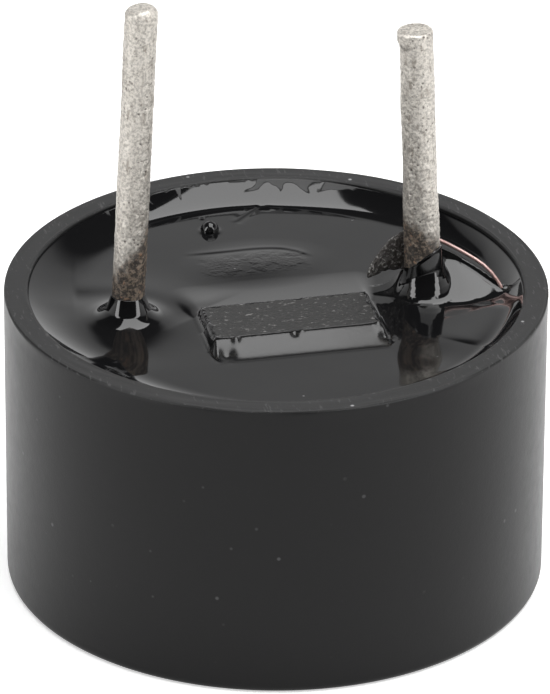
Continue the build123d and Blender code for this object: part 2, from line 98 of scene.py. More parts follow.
class Finish:
    # A material, or the world given as its owner, with short ways to add nodes. A material's patterns read
    # Object coordinates, and its tone is built up in layers.
    def __init__(self, name, owner=None, coordinates="Object"):
        self.owner = owner or bpy.data.materials.new(name)
        self.owner.use_nodes = True
        self.tree = self.owner.node_tree
        self.tree.nodes.clear()
        self.place = self.add("ShaderNodeTexCoord", out=coordinates)

    def add(self, kind, settings=None, sockets=None, out=0):
        node = self.tree.nodes.new(kind)
        for name, value in (settings or {}).items():
            setattr(node, name, value)
        for name, value in (sockets or {}).items():
            plug(self.tree, node.inputs[name], value)
        return Wire(self.tree, node.outputs[out])

    def noise(self, size, detail=2.0, rough=0.5, warp=0.0, place=None):
        values = {"Vector": place or self.place, "Scale": 1 / (size * mm), "Detail": detail}
        values.update({"Roughness": rough, "Distortion": warp})
        return self.add("ShaderNodeTexNoise", None, values)

    def spots(self, low, high, *looks):  # a noise, 0 up to its low value and 1 from its high one
        return self.ramp(self.noise(*looks), low, high)

    def pits(self, size, full, none):  # round spots in the middles of cells, 1 within full and 0 beyond none
        sockets = {"Vector": self.place, "Scale": 1 / (size * mm)}
        return 1 - self.ramp(self.add("ShaderNodeTexVoronoi", None, sockets, "Distance"), full, none)

    def waves(self, way, size):
        sockets = {"Vector": self.place, "Scale": 1 / (size * mm)}
        return self.add("ShaderNodeTexWave", {"bands_direction": way}, sockets)

    def stretched(self, scale):
        return self.add("ShaderNodeMapping", None, {"Vector": self.place, "Scale": scale})

    def axis(self, letter):
        return self.add("ShaderNodeSeparateXYZ", None, {"Vector": self.place}, letter)

    def grey(self, value):
        return self.add("ShaderNodeCombineXYZ", None, {"X": value, "Y": value, "Z": value})

    def ramp(self, value, low, high):  # 0 at low, 1 at high, smooth between
        sockets = {"Value": value, "From Min": low, "From Max": high}
        return self.add("ShaderNodeMapRange", {"interpolation_type": "SMOOTHSTEP"}, sockets)

    def band(self, value, edges):  # 1 between the middle two of four edges in mm, 0 outside the outer two
        low, lowFull, highFull, high = (edge * mm for edge in edges)
        return self.ramp(value, low, lowFull) * (1 - self.ramp(value, highFull, high))

    def mix(self, mask, first, second, how="MIX"):
        settings = {"data_type": "RGBA", "blend_type": how, "clamp_factor": True}
        return self.add("ShaderNodeMix", settings, {0: mask, 6: first, 7: second}, 2)

    def lay(self, mask, colour, how="MIX"):  # a further layer on the tone so far
        self.tone = self.mix(mask, self.tone, colour, how)

    def finish(self, relief, depth, strength, **looks):
        sockets = {"Height": relief, "Distance": depth * mm, "Strength": strength}
        normal = self.add("ShaderNodeBump", None, sockets)
        names = {"ior": "IOR", "coat": "Coat Weight"}
        sockets = {names.get(name, name.capitalize()): value for name, value in looks.items()}
        sockets.update({"Base Color": self.tone, "Normal": normal})
        return self.close(self.add("ShaderNodeBsdfPrincipled", None, sockets))

    def close(self, shader, kind="ShaderNodeOutputMaterial"):
        end = self.tree.nodes.new(kind)
        plug(self.tree, end.inputs["Surface"], shader)
        return self.owner


def placed(name, data):
    # An object made from its data and put in the scene
    thing = bpy.data.objects.new(name, data)
    bpy.context.scene.collection.objects.link(thing)
    return thing


# Surfaces: a grid of points, rows along the piece and columns round it, made a mesh in one go
def gridFaces(rows, columns, roundIt):
    # Each cell's four corners, turned so that rows times columns points out
    row = np.arange(rows - 1)[:, None]
    column = np.arange(columns if roundIt else columns - 1)[None, :]
    after = (column + 1) % columns
    here, above = row * columns, (row + 1) * columns
    corners = (here + column, here + after, above + after, above + column)
    return np.stack([np.broadcast_to(corner, (rows - 1, column.size)).ravel() for corner in corners], 1)


def fanFaces(ring, centre, outward):
    # Triangles from a ring of points to one centre
    after = np.roll(ring, -1)
    first, second = (after, ring) if outward else (ring, after)
    return np.stack([first, second, np.full(ring.size, centre)], 1)


def makePiece(name, points, faces, stands, finish):
    # A new piece from its points in mm and its arrays of faces, standing for the CAD nodes named in stands
    mesh = bpy.data.meshes.new(name)
    everyFace = [face for part in faces for face in part.tolist()]
    mesh.from_pydata((np.asarray(points) * mm).tolist(), [], everyFace)
    mesh.shade_smooth()
    mesh.materials.append(finish)
    piece = placed(name, mesh)
    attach(piece, "root")
    if stands:
        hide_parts(*stands)


def circle(count):
    # Angles evenly round a circle
    return np.linspace(0, 2 * np.pi, count, endpoint=False)[None, :]


def circles(middle, radius, angle, height):
    # A grid of points: at each height a circle round its middle's X and Y
    x, y = middle
    return np.stack([x + radius * np.cos(angle), y + radius * np.sin(angle), height + 0 * radius], 2)


def turnedTube(grid):
    # Points and faces of a tube closed at both ends, from a grid of rows along and columns round
    rows, columns = grid.shape[:2]
    points = np.concatenate([grid.reshape(-1, 3), grid[0].mean(0)[None], grid[-1].mean(0)[None]])
    first = np.arange(columns)
    last = first + (rows - 1) * columns
    count = rows * columns
    faces = [gridFaces(rows, columns, True), fanFaces(first, count, True), fanFaces(last, count + 1, False)]
    return points, faces


def closedRing(grid):
    # Points and faces of a grid whose rows and columns both run round into themselves
    rows, columns = grid.shape[:2]
    return grid.reshape(-1, 3), gridFaces(rows + 1, columns, True) % (rows * columns)


def grain(rows, columns, across, along, seed):
    # Even random values, blurred by a bell curve as wide as asked in rows and columns, and scaled to about 1
    field = np.fft.fft2(np.random.default_rng(seed).normal(size=(rows, columns)))
    down = np.fft.fftfreq(rows)[:, None] * along
    over = np.fft.fftfreq(columns)[None, :] * across
    field = np.fft.ifft2(field * np.exp(-2 * np.pi**2 * (down**2 + over**2))).real
    return field / field.std()


def eased(value):
    # 0 to 1 with no slope at either end: three squares less two cubes
    value = np.clip(value, 0, 1)
    return value * value * (3 - 2 * value)


def alongPath(path, x, y):
    # The nearest place on a path of straight runs: its distance, on which side of it the point lies, and
    # how many runs along it is
    path = np.asarray(path, float)
    best = np.full(x.shape, 1e9)
    side = np.zeros(x.shape)
    way = np.zeros(x.shape)
    for number, (first, second) in enumerate(zip(path, path[1:])):
        run = second[:2] - first[:2]
        reach = np.clip(((x - first[0]) * run[0] + (y - first[1]) * run[1]) / (run @ run), 0, 1)
        offX = x - first[0] - reach * run[0]
        offY = y - first[1] - reach * run[1]
        distance = np.hypot(offX, offY)
        nearer = distance < best
        best = np.where(nearer, distance, best)
        side = np.where(nearer, run[0] * offY - run[1] * offX, side)
        way = np.where(nearer, number + reach, way)
    return best, side, way


# Camera, stage and lights
view = {
    "eye": (-22.925, -99.251, 56.384),
    "aim": (-0.0103, 0.0024, 4.0338),
    "roll": 0.3207,
    "lens": 357.76,
    "sensor": 36.0,
    "nearest": 1.0,
    "farthest": 20000.0,
}
eye = Vector(view["eye"]) * mm
ahead = (Vector(view["aim"]) * mm - eye).normalized()
level = ahead.cross(Vector((0, 0, 1))).normalized()
above = level.cross(ahead)
turn = radians(view["roll"])
right = level * cos(turn) + above * sin(turn)
upward = above * cos(turn) - level * sin(turn)
lens = bpy.data.cameras.new("camera")
lens.lens = view["lens"]
lens.sensor_width = view["sensor"]
lens.clip_start = view["nearest"] * mm
lens.clip_end = view["farthest"] * mm
camera = placed("camera", lens)
camera.matrix_world = Matrix.Translation(eye) @ Matrix((right, upward, -ahead)).transposed().to_4x4()
bpy.context.scene.camera = camera

studio = {
    "floorHalf": 4000.0,
    "floorTone": 0.80,
    "floorGlow": 0.56,
    "floorMirrored": 0.34,
    # The sky: its strength at the horizon, its fall with height, and the heights between which it goes dark
    "skyFoot": 1.20,
    "skyFall": 1.40,
    "skyHigh": 0.03,
    "skyEdge": (0.50, 0.62),
    # Its dark side towards the camera: X, Y of that side, between which shares of the way it goes dark, and
    # how dark
    "frontSide": (-0.225, -0.974),
    "frontEdge": (0.20, 0.60),
    "frontTone": 0.05,
    # The overhead soft box, and two low panels that only show as highlights
    "boxRadiance": 4.8,
    "boxPlace": (33.0, -24.0, 240.0),
    "boxSize": (204.0, 280.0),
    "boxTurn": 15.8,
    "sideRadiance": 5.6,
    "sideSize": (360.0, 90.0),
    "leftPlace": (-265.0, -84.0, 84.0),
    "rightPlace": (192.0, -201.0, 84.0),
}


def makeFloor():
    half = studio["floorHalf"]
    mesh = bpy.data.meshes.new("floor")
    corners = [(-half, -half, 0), (half, -half, 0), (half, half, 0), (-half, half, 0)]
    mesh.from_pydata([[c * mm for c in corner] for corner in corners], [], [(0, 1, 2, 3)])
    placed("floor", mesh)
    paint = Finish("floorPaint")
    seen = paint.add("ShaderNodeLightPath", out="Is Camera Ray")
    mirrored = paint.add("ShaderNodeLightPath", out="Is Glossy Ray")
    shown = seen * studio["floorGlow"] + mirrored * studio["floorMirrored"]
    matte = paint.add("ShaderNodeBsdfDiffuse", None, {"Color": studio["floorTone"]})
    glow = paint.add("ShaderNodeEmission", None, {"Color": 1.0, "Strength": shown})
    both = paint.add("ShaderNodeAddShader", None, {0: matte, 1: glow})
    mesh.materials.append(paint.close(both))


def makeSky():
    # Pale low down and dark above, and dark on the camera's side too. A camera ray sees plain white.
    world = bpy.data.worlds.new("studio")
    bpy.context.scene.world = world
    sky = Finish("studio", world, "Generated")
    height = sky.axis("Z")
    dark = sky.ramp(height, *studio["skyEdge"])
    frontX, frontY = studio["frontSide"]
    towards = sky.axis("X") * frontX + sky.axis("Y") * frontY
    low, high = studio["frontEdge"]
    front = ((towards - low) / (high - low)).kept()
    pale = studio["skyFoot"] - height.reckon("MAXIMUM", 0) * studio["skyFall"]
    pale = pale + front * (studio["frontTone"] - pale)
    strength = pale + dark * (studio["skyHigh"] - pale)
    seen = sky.add("ShaderNodeLightPath", out="Is Camera Ray")
    sockets = {"Color": 1.0, "Strength": strength * (1 - seen) + seen}
    sky.close(sky.add("ShaderNodeBackground", None, sockets), "ShaderNodeOutputWorld")


def makeSoftbox(name, place, size, radiance, turn=0.0):
    # A flat lamp that faces the object, its second side turned from +Y. Its power is its radiance times pi
    # times its area.
    lamp = bpy.data.lights.new(name, "AREA")
    lamp.shape = "RECTANGLE"
    lamp.size, lamp.size_y = size[0] * mm, size[1] * mm
    lamp.energy = radiance * np.pi * lamp.size * lamp.size_y
    box = placed(name, lamp)
    away = Vector(place).normalized()
    across = Vector((sin(radians(turn)), cos(radians(turn)), 0)).cross(away).normalized()
    axes = Matrix((across, away.cross(across), away)).transposed()
    box.matrix_world = Matrix.Translation(Vector(place) * mm) @ axes.to_4x4()
    box.visible_camera = False
    return box


makeFloor()
makeSky()
makeSoftbox(
    "overheadSoftbox", studio["boxPlace"], studio["boxSize"], studio["boxRadiance"], studio["boxTurn"]
)
for name in ("left", "right"):
    panel = makeSoftbox(name + "Panel", studio[name + "Place"], studio["sideSize"], studio["sideRadiance"])
    panel.visible_diffuse = False
print("camera and studio made")

# Case: one moulded cup. Its section is carried round the upright axis.
cup = {
    "radius": 4.5,
    "bore": 4.1,
    "height": 5.18,
    "ledgeRadius": 3.65,
    "ledgeTop": 1.15,
    "frontWall": 0.50,
    "holeRadius": 0.90,
    "holeChamfer": 0.12,
    "frontEdge": 0.12,
    "rimEdge": 0.04,
    "innerEdge": 0.02,
    "columns": 440,
    "cornerSteps": 6,
    "runSteps": 14,
    # Wear of the rim: how far in, how far down the sides it reaches, and over what height it fades
    "wear": 0.004,
    "wearReach": 0.09,
    "wearFade": 0.06,
    # The side and the rim are one plastic: the rim's lighter colour is painted light, where light from above
    # falls on its top
    "tone": (0.0055, 0.0055, 0.0058),
    "litRimTone": (0.031, 0.031, 0.0315),
    "rimLevels": (5.13, 5.165),
    "dust": (0.42, 0.42, 0.43),
    # Painted shade: a dark hairline where the rim meets the side, for the shadow at that edge, and a
    # dark line along the rim's inner edge in front, for the shadow where the compound meets it: radii, Y
    "hairline": (4.474, 4.482, 4.494, 4.499),
    "hairlineShadeTone": 0.006,
    "innerLine": (4.104, 4.120),
    "innerLineFront": (-2.2, -1.2),
    "innerLineShadeTone": 0.008,
    "scratchTone": 0.13,
}


def roundedSection(corners, radii, cornerSteps, runSteps):
    # A closed outline. Its corners are arcs, each tangent to its two runs, and the points of a run are
    # closer at its ends.
    corners = np.asarray(corners, float)
    points = []
    ends = []
    for number, radius in enumerate(radii):
        before, here, after = corners[number - 1], corners[number], corners[(number + 1) % len(corners)]
        inward = (before - here) / np.linalg.norm(before - here)
        outward = (after - here) / np.linalg.norm(after - here)
        half = np.arccos(np.clip(inward @ outward, -1, 1)) / 2
        start, stop = here + inward * radius / np.tan(half), here + outward * radius / np.tan(half)
        middle = here + (inward + outward) / np.linalg.norm(inward + outward) * radius / np.sin(half)
        share = np.linspace(0, 1, cornerSteps + 1)[:, None]
        chord = start - middle + (stop - start) * share
        arc = middle + chord / np.linalg.norm(chord, axis=1)[:, None] * radius
        ends.append((arc[0], arc[-1]))
        points.append(arc)
    woven = []
    share = ((1 - np.cos(np.linspace(0, np.pi, runSteps + 1)[1:-1])) / 2)[:, None]
    for number, arc in enumerate(points):
        following = ends[(number + 1) % len(points)][0]
        woven += [arc, arc[-1] + (following - arc[-1]) * share]
    return np.concatenate(woven)


def makeCup():
    corners = [
        (cup["holeRadius"] + cup["holeChamfer"], 0),
        (cup["radius"], 0),
        (cup["radius"], cup["height"]),
        (cup["bore"], cup["height"]),
        (cup["bore"], cup["ledgeTop"]),
        (cup["ledgeRadius"], cup["ledgeTop"]),
        (cup["ledgeRadius"], cup["frontWall"]),
        (cup["holeRadius"], cup["frontWall"]),
        (cup["holeRadius"], cup["holeChamfer"]),
    ]
    small = cup["innerEdge"]
    radii = [small, cup["frontEdge"], cup["rimEdge"], cup["rimEdge"], small, small, small, small, small]
    section = roundedSection(corners, radii, cup["cornerSteps"], cup["runSteps"])
    rows, columns = len(section), cup["columns"]
    # The rim is worn by a few microns
    onRim = eased((section[:, 1] - cup["height"] + cup["wearReach"]) / cup["wearFade"])[:, None]
    wear = grain(rows, columns, 7, 1.5, 3) * cup["wear"] * onRim
    radius = section[:, 0][:, None] + wear
    height = section[:, 1][:, None] - np.abs(wear) * 0.8
    points, faces = closedRing(circles((0, 0), radius, circle(columns), height))
    makePiece("cupCase", points, [faces], ["case"], cupFinish())


def cupFinish():
    plastic = Finish("cupPlastic")
    height = plastic.axis("Z")
    x, y = plastic.axis("X"), plastic.axis("Y")
    radius = (x * x + y * y) ** 0.5
    rimLow, rimFull = cup["rimLevels"]
    rim = plastic.ramp(height, rimLow * mm, rimFull * mm)
    cloud = plastic.noise(1.6, 3)
    mottle = plastic.noise(0.22, 4, 0.6)
    # Painted light: the rim's top takes a lighter colour than the side
    plastic.tone = plastic.mix(rim, cup["tone"], cup["litRimTone"])
    shade = 0.80 + cloud * 0.22 + mottle * 0.18
    plastic.lay(1.0, plastic.grey(shade), "MULTIPLY")
    # The hairline of painted shade is broken up round the edge
    hairline = plastic.band(radius, cup["hairline"]) * rim
    broken = plastic.spots(0.40, 0.52, 2.6, 2)
    plastic.lay(hairline * broken * 0.9, cup["hairlineShadeTone"])
    # Painted shade: the dark line where the compound meets the rim, along the front
    nearest, farthest = cup["innerLine"]
    frontFull, frontEnd = cup["innerLineFront"]
    inner = (1 - plastic.ramp(radius, nearest * mm, farthest * mm))
    inner = inner * (1 - plastic.ramp(y, frontFull * mm, frontEnd * mm)) * rim
    smudged = plastic.spots(0.40, 0.52, 1.1, 2)
    plastic.lay(inner * smudged * 0.8, cup["innerLineShadeTone"])
    # Pale specks of dust, few on the side and more on the rim
    specks = plastic.pits(0.34, 0.05, 0.13)
    some = plastic.spots(0.52, 0.66, 0.9, 2)
    plastic.lay(specks * some * (0.18 + rim * 0.7), cup["dust"])
    # Fine scratches that run round the rim
    scratch = plastic.noise(0.05, 2, 0.5, 0.3, plastic.stretched((1.0, 0.22, 1.0)))
    lines = plastic.ramp(scratch, 0.60, 0.72) * rim
    plastic.lay(lines * 0.35, cup["scratchTone"])
    fine = plastic.noise(0.035, 3, 0.6)
    coarse = plastic.noise(0.16, 3, 0.55)
    relief = fine * 0.35 + coarse * 0.45 + lines * 0.5
    rough = (0.26 + mottle * 0.12 + rim * 0.22).kept()
    return plastic.finish(relief, 0.006, 0.6, roughness=rough, ior=1.32)


makeCup()
print("case made")

# Pins: round tinned wire, each leaning a little more above its bend
pins = {
    "pitch": 5.0,
    "potting": 4.83,
    "tail": 3.50,
    "radius": 0.272,
    "rows": 520,
    "columns": 112,
    "lump": 0.0035,
    "grit": 0.0022,
    "ragged": 0.012,
    # Each pin leans by baseLean degrees up to its bend and by lean above it. It is scorched below
    # scorchTop, with an edge that slants by scorchLean.
    "long": {
        "side": -1, "tip": 10.43, "bend": 5.19, "baseLean": 1.9, "lean": 2.6, "tipRadius": 0.13, "seed": 11,
        "scorchTop": 6.25, "scorchLean": -1.5,
    },
    "short": {
        "side": 1, "tip": 9.60, "bend": 5.88, "baseLean": 1.6, "lean": 2.4, "tipRadius": 0.05, "seed": 23,
        "scorchTop": 6.05, "scorchLean": 0.9,
    },
    # The short pin is thicker all over, and more so below its tinned mark; its sheared end flares to the left
    "wetted": 0.014,
    "wettedTop": 6.95,
    "flare": 0.030,
    "flareFoot": 9.30,
    "tin": (0.66, 0.62, 0.56),
    "tinDark": (0.20, 0.18, 0.155),
    "tinPale": (0.93, 0.89, 0.83),
    "streak": (0.22, 0.185, 0.15),
    "pit": (0.09, 0.075, 0.065),
    "scorch": (0.030, 0.021, 0.016),
    "burntBrown": (0.30, 0.23, 0.17),
    "burntOrange": (0.40, 0.23, 0.14),
    "grainTurn": (0.6, 0.4, 0.3),
}


def pinMiddle(pin, height):
    # X of a pin's middle line: straight up to its bend, and straight again above it
    low = np.minimum(height, pin["bend"])
    drift = (low - pins["potting"]) * tan(radians(pin["baseLean"]))
    drift = drift + np.maximum(height - pin["bend"], 0) * tan(radians(pin["lean"]))
    return pin["side"] * (pins["pitch"] / 2 - drift)


def makePin(name, stands, pin, thicker):
    # A circle carried up the pin's middle line; its radius has lumps and grit, and closes in over the tip
    rows, columns = pins["rows"], pins["columns"]
    tipRadius = pin["tipRadius"]
    # The last rows go over the rounded end: a quarter circle, then in to the middle
    arcRows, flatRows = 12, 8
    around = np.linspace(0, np.pi / 2, arcRows)
    height = np.concatenate([
        np.linspace(pins["tail"], pin["tip"] - tipRadius, rows - arcRows - flatRows, endpoint=False),
        pin["tip"] - tipRadius + tipRadius * np.sin(around),
        np.full(flatRows, pin["tip"]),
    ])
    inset = np.concatenate([
        np.zeros(rows - arcRows - flatRows),
        tipRadius * (1 - np.cos(around)),
        tipRadius + (pins["radius"] - tipRadius) * np.linspace(0, 0.94, flatRows + 1)[1:],
    ])
    angle = circle(columns)
    lumps = grain(rows, columns, 14, 22, pin["seed"]) * pins["lump"]
    grit = grain(rows, columns, 1.5, 2.2, pin["seed"] + 1) * pins["grit"]
    body = np.maximum(pins["radius"] - inset, 0.004)[:, None]
    fade = np.clip(body / pins["radius"], 0, 1)
    radius = body + (lumps + grit) * fade + thicker(height[:, None], angle)
    # The tip is cut a little ragged
    nearTip = eased((height[:, None] - pin["tip"] + 0.2) / 0.2)
    top = height[:, None] + grain(rows, columns, 12, 12, pin["seed"] + 2) * pins["ragged"] * nearTip
    points, faces = turnedTube(circles((pinMiddle(pin, top), 0), radius, angle, top))
    makePiece(name, points, faces, stands, tinFinish(name + "Tin", pin))


def tinFinish(name, pin):
    # Dull tin plating: granular, pitted, and scorched brown towards its foot
    tin = Finish(name)
    height = tin.axis("Z")
    across = tin.axis("X")
    drawn = tin.stretched((1.0, 1.0, 0.35))
    # The patterns are turned, so that no plane of a noise's lattice lies level across a pin
    tin.place = tin.add("ShaderNodeMapping", None, {"Vector": tin.place, "Rotation": pins["grainTurn"]})
    patch = tin.noise(0.20, 3, 0.6)
    grit = tin.noise(0.045, 4, 0.65)
    fine = tin.noise(0.018, 2, 0.6)
    streaks = tin.noise(0.09, 3, 0.6, 0.4, drawn)
    pits = tin.pits(0.085, 0.10, 0.34)
    some = tin.spots(0.46, 0.62, 0.13, 2)
    pitted = pits * some
    tin.tone = tin.mix(tin.ramp(grit, 0.36, 0.60), pins["tinDark"], pins["tin"])
    tin.lay(patch * 0.6, pins["tinPale"])
    tin.lay(tin.ramp(streaks, 0.52, 0.70) * 0.55, pins["streak"])
    tin.lay(pitted * 0.75, pins["pit"])
    # The scorched foot has a ragged edge that is higher on one side
    slant = (across - pin["side"] * 2.4 * mm) * pin["scorchLean"]
    edge = height + slant + (tin.noise(0.22, 3, 0.6) - 0.5) * (0.55 * mm)
    scorched = 1 - tin.ramp(edge, (pin["scorchTop"] - 0.22) * mm, (pin["scorchTop"] + 0.16) * mm)
    speckle = tin.spots(0.44, 0.62, 0.07, 3, 0.7)
    burnt = tin.mix(speckle, pins["scorch"], pins["burntBrown"])
    burnt = tin.mix(tin.spots(0.62, 0.72, 0.09, 2, 0.6), burnt, pins["burntOrange"])
    tin.lay(scorched * 0.93, burnt)
    metal = (0.62 - pitted * 0.35 - scorched * 0.42).kept()
    rough = (0.36 + grit * 0.22 + pitted * 0.2 + scorched * 0.12).kept()
    relief = grit * 0.6 + fine * 0.25 - pitted * 0.7 + patch * 0.3
    return tin.finish(relief, 0.014, 0.8, metallic=metal, roughness=rough)


def plainShank(height, angle):
    return 0 * height * angle


def solderedShank(height, angle):
    wetted = pins["wetted"] + pins["wetted"] * eased((pins["wettedTop"] - height) / 0.9)
    flare = pins["flare"] * eased((height - pins["flareFoot"]) / 0.12) * np.clip(-np.cos(angle), 0, 1) ** 2
    return wetted + flare


makePin("longPin", ["long_pin"], pins["long"], plainShank)
makePin("shortPin", ["short_pin"], pins["short"], solderedShank)
print("pins made")

# Compound: a glossy black pool, its height worked out over the whole round at once
pool = {
    "radius": 4.1,
    "level": 4.83,
    "floor": 3.95,
    "cells": 292,
    "rimPull": 0.60,
    # Width of the meniscus at angles round the pool, in degrees from the short pin's side
    "meniscusAngles": (-180, -110, 0, 15, 28, 44, 56, 82, 116, 124, 150, 170, 180),
    "meniscusWidths": (1.05, 0.66, 0.42, 0.27, 0.34, 0.60, 0.60, 0.44, 0.44, 0.80, 0.88, 1.08, 1.05),
    "meniscusClimb": 0.28,
    # At the back it climbs higher: by how much, where that starts and ends, and over how many degrees each
    "backClimb": 0.06,
    "backStart": (44, 34),
    "backEnd": (124, 14),
    # Slow waves left by the cast: how many radians to the mm along X and Y, and how high
    "waves": ((2.1, 0.7, 0.0022), (-0.9, 1.9, 0.0020), (1.4, -2.6, 0.0012), (3.3, 2.2, 0.0007)),
    # A collar starts at its wall's distance from the pin's middle, and its table gives by distance its rise
    # in mm or its slope in degrees. It is stretched all round, and more towards its side (in degrees).
    "collarLevel": 4.95,
    "collars": {
        "long": {
            "wall": 0.276,
            "reach": (0.0, 0.09, 0.11, 0.225, 0.32, 0.55, 1.0, 1.4),
            "slope": (74, 62, 47, 30, 12, 6, 3, 0),
            "taller": 1.04, "wider": 1.0, "tallSide": 0.0, "wideSide": 0.0, "side": -100.0,
        },
        "short": {
            "wall": 0.304,
            "reach": (0.0, 0.008, 0.058, 0.088, 0.108, 0.158, 0.198, 0.233, 0.273, 0.323, 0.403, 0.70),
            "rise": (0.47, 0.43, 0.285, 0.218, 0.184, 0.122, 0.082, 0.056, 0.036, 0.024, 0.014, 0.0),
            "taller": 1.40, "wider": 0.92, "tallSide": 0.50, "wideSide": 0.20, "side": -40.0,
        },
    },
    # A collar is a fine ring on the pool's coarser sheet, which dips under it inside the seam
    "collarSeam": 0.64,
    "seamDip": 0.05,
    "seamEase": 0.04,
    "ringInside": 0.22,
    "ringFine": 0.60,
    "ringDip": 0.70,
    "ringOutside": 0.78,
    "ringLift": 0.0002,
    "ringDepth": 0.30,
    "chipPlace": (0.07, -0.805),
    "chipSize": (2.80, 1.165),
    "chipTop": 5.02,
    "frontDam": 0.47,
    "rearDam": 1.15,
    "rearFlat": 0.12,
    "rearLip": 0.07,
    "sideDam": 0.12,
    "sideSpread": 0.45,
    "lap": 0.012,
    # The bare part of the transistor's top: left, right, front, rear
    "bare": (-1.29, 1.43, -1.355, -0.24),
    "moundPlace": (0.0, 1.50),
    "moundSize": (2.9, 2.0),
    "moundRise": 0.035,
    "bubblePlace": (-0.48, 2.91),
    "bubbleRadius": 0.155,
    "bubbleRise": 0.180,
    "bubbleFoot": 0.03,
    # The ridge drawn up under the lead, from the wall past the short pin: X, Y, rise over the pool
    "crest": [(4.08, -0.44, 0.0), (3.90, -0.36, 0.05), (3.62, -0.12, 0.29), (3.19, 0.19, 0.52),
              (2.80, 0.32, 0.70), (2.45, 0.32, 0.70), (2.10, 0.30, 0.12), (1.6, 0.30, 0.0)],
    # Where its front flank ends: X, Y
    "foot": [(4.1, -0.30), (3.89, -0.42), (3.52, -0.62), (3.13, -0.74), (2.64, -0.68), (2.42, -0.54),
             (2.21, -0.36), (1.6, 0.0)],
    "flankSlope": 0.56,
    "filmReach": 0.09,
    "rearSpread": 0.5,
    "tone": (0.006, 0.006, 0.0065),
    # Rough places, as bands across X and Y: over the capacitor, the lap on the transistor, the strip before
    # it
    "patchX": (-1.05, -0.75, 0.75, 1.0),
    "patchY": (1.05, 1.35, 1.75, 2.0),
    "lapX": (-1.45, -1.30, 1.40, 1.55),
    "lapY": (-0.72, -0.64, -0.35, -0.15),
    "stripY": (-1.96, -1.90, -1.42, -1.38),
    # The pool's broken edge at the back: its level, its jags and notches, and the Y from which it shows
    "edgeLevel": 5.125,
    "jagDepth": 0.03,
    "notchDepth": 0.13,
    "edgeFrom": (3.40, 3.50),
    "dustTone": 0.30,
    # The dark line of painted shade along that edge
    "edgeShadeTone": 0.004,
    "roughTone": (0.022, 0.021, 0.021),
}
# Soft ledges in the pool: the path of each, its half width, and how far the pool drops on the path's right
ledges = [
    ([(-3.20, 1.12), (-2.45, 0.98)], 0.20, 0.0145),
    ([(-2.35, 0.92), (-1.94, 0.72), (-1.62, 0.33), (-1.30, -0.12)], 0.22, 0.0180),
    ([(2.90, -2.20), (3.40, -1.62), (3.85, -0.90)], 0.18, 0.0200),
    ([(-1.12, 2.09), (-0.40, 2.05), (0.20, 2.07), (0.66, 1.96), (1.0, 1.58)], 0.030, 0.0055),
    ([(0.0, 3.12), (0.25, 3.38), (0.95, 4.0)], 0.030, 0.006),
]
# Small lumps and hollows: X, Y, radius, height
lumps = [
    (-1.00, -1.45, 0.060, 0.055),
    (-1.20, -1.66, 0.13, -0.080),
    (1.40, -1.40, 0.055, 0.045),
    (1.47, -1.62, 0.09, -0.060),
    (-0.01, -1.42, 0.050, -0.045),
    (0.12, -1.40, 0.035, 0.030),
    (-0.60, -1.42, 0.030, 0.012),
    (-2.84, -1.20, 0.45, -0.022),
    (2.06, -2.35, 0.45, -0.022),
    (-0.51, 3.39, 0.030, 0.012),
]


def smoothed(path, rounds=3):
    # A path with its corners cut: each run keeps its middle half, again and again
    path = np.asarray(path, float)
    for _ in range(rounds):
        middle = np.stack([path[:-1] * 0.75 + path[1:] * 0.25, path[:-1] * 0.25 + path[1:] * 0.75], 1)
        path = np.concatenate([path[:1], middle.reshape(-1, path.shape[1]), path[-1:]])
    return path


def higher(first, second, blend):
    # The higher of two heights, run together smoothly where they meet, and 0 where both are 0
    return (first + second + np.sqrt((first - second) ** 2 + blend**2) - blend) / 2


def byX(path, x, column):
    # One column of a path at each X, and 0 past its ends
    path = path[np.argsort(path[:, 0])]
    return np.interp(x, path[:, 0], path[:, column], 0.0, 0.0)


def blurred(values, places, mode):
    # A row of values blurred by a narrow bell curve that reaches so many places each way
    bell = np.exp(-(np.linspace(-2, 2, 2 * places + 1) ** 2))
    return np.convolve(np.pad(values, places, mode), bell / bell.sum(), "valid")


def ridgeHeight(x, y):
    # Behind the crest a hollow slope; in front an even flank up from the foot, and a steep film up to the
    # crest
    crest, foot = smoothed(pool["crest"]), smoothed(pool["foot"])
    crestY, rise = byX(crest, x, 1) - 0.03, byX(crest, x, 2)
    away, side, _ = alongPath(foot, x, y)
    flank = np.minimum(np.where(side < 0, np.hypot(away, 0.04) - 0.04, 0) * pool["flankSlope"], rise)
    film = np.clip((y - crestY) / pool["filmReach"] + 1, 0, 1) ** 1.7
    behind = np.clip(1 - (y - crestY) / (pool["rearSpread"] * rise + 0.05), 0, 1) ** 2.2
    return np.where(y > crestY, rise * behind, flank + (rise - flank) * film)


def collarMiddle(pin):
    # X of a pin's middle at the collars
    return pinMiddle(pins[pin], pool["collarLevel"])


def collarHeight(pin, x, y):
    # The height over the pool of one pin's collar: slopes added up from the far end, or blurred heights
    collar = pool["collars"][pin]
    offX = x - collarMiddle(pin)
    turned = np.cos(np.arctan2(y, offX) - radians(collar["side"]))
    reach = np.linspace(0, collar["reach"][-1], 700)
    if "slope" in collar:
        slope = np.tan(np.radians(np.interp(reach, collar["reach"], collar["slope"])))
        rise = np.cumsum(slope[::-1])[::-1] * reach[1]
    else:
        rise = blurred(np.interp(reach, collar["reach"], collar["rise"]), 7, "edge")
    away = np.maximum(np.hypot(offX, y) - collar["wall"], 0) / (collar["wider"] + collar["wideSide"] * turned)
    return np.interp(away, reach, rise) * (collar["taller"] + collar["tallSide"] * turned)


